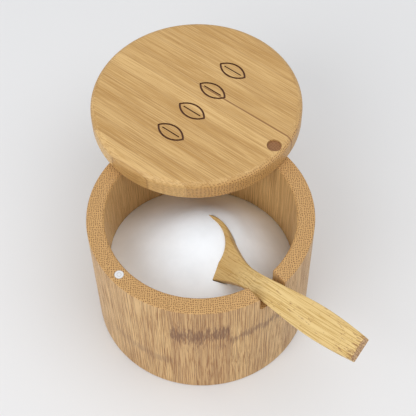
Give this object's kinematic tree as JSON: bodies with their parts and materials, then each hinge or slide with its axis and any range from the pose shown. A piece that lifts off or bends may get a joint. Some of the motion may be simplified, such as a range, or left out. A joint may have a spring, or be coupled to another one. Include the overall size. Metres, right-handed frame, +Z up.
{
  "type": "salt cellar",
  "caption": "Round bamboo salt cellar with a swivelling lid on a pivot pin, a magnet catch, a rim notch and a bamboo spoon resting in the salt.",
  "frame": {"origin": "centre of the flat underside of the base", "axes": "+Z up through the jar, +Y from the rim magnet to the lid pivot, +X towards the spoon notch"},
  "size_m": [0.1668, 0.1202, 0.0704],
  "materials": {
    "bamboo_wall": "satin oiled bamboo, fibres upright",
    "bamboo_base": "satin oiled bamboo, end grain",
    "bamboo_lid": "satin oiled bamboo, edge-grain strips",
    "bamboo_plug": "bamboo end grain",
    "bamboo_spoon": "satin bamboo, fibres lengthwise",
    "steel": "bright steel pin",
    "magnet": "nickel-plated magnet",
    "salt": "fine white salt"
  },
  "bodies": {
    "jar": {"stave_left": "bamboo_wall", "stave_right": "bamboo_wall", "stave_front_left": "bamboo_wall", "stave_front_middle": "bamboo_wall", "stave_front_right": "bamboo_wall", "stave_rear_left": "bamboo_wall", "stave_rear_middle": "bamboo_wall", "stave_rear_right": "bamboo_wall", "base_disc": "bamboo_base", "pivot_pin": "steel", "rim_magnet": "magnet", "salt_bed": "salt"},
    "lid": {"lid_strip_01": "bamboo_lid", "lid_strip_02": "bamboo_lid", "lid_strip_03": "bamboo_lid", "lid_strip_04": "bamboo_lid", "lid_strip_05": "bamboo_lid", "lid_strip_06": "bamboo_lid", "lid_strip_07": "bamboo_lid", "lid_strip_08": "bamboo_lid", "lid_strip_09": "bamboo_lid", "lid_strip_10": "bamboo_lid", "lid_strip_11": "bamboo_lid", "lid_strip_12": "bamboo_lid", "lid_strip_13": "bamboo_lid", "lid_strip_14": "bamboo_lid", "pivot_plug": "bamboo_plug", "lid_magnet": "magnet"},
    "spoon": {"spoon": "bamboo_spoon", "salt_load": "salt"}
  },
  "joints": [
    {"name": "lid_swivel", "type": "hinge", "parent": "jar", "child": "lid", "pos_m": [0, 0.0392, 0.06125], "axis": [0, 0, 1], "range_deg": [-165, 80]},
    {"name": "spoon_rock", "type": "hinge", "parent": "jar", "child": "spoon", "pos_m": [0.03703, -0.00623, 0.0533], "axis": [-0.0689, 0.9976, 0], "range_deg": [0, 10]}
  ]
}
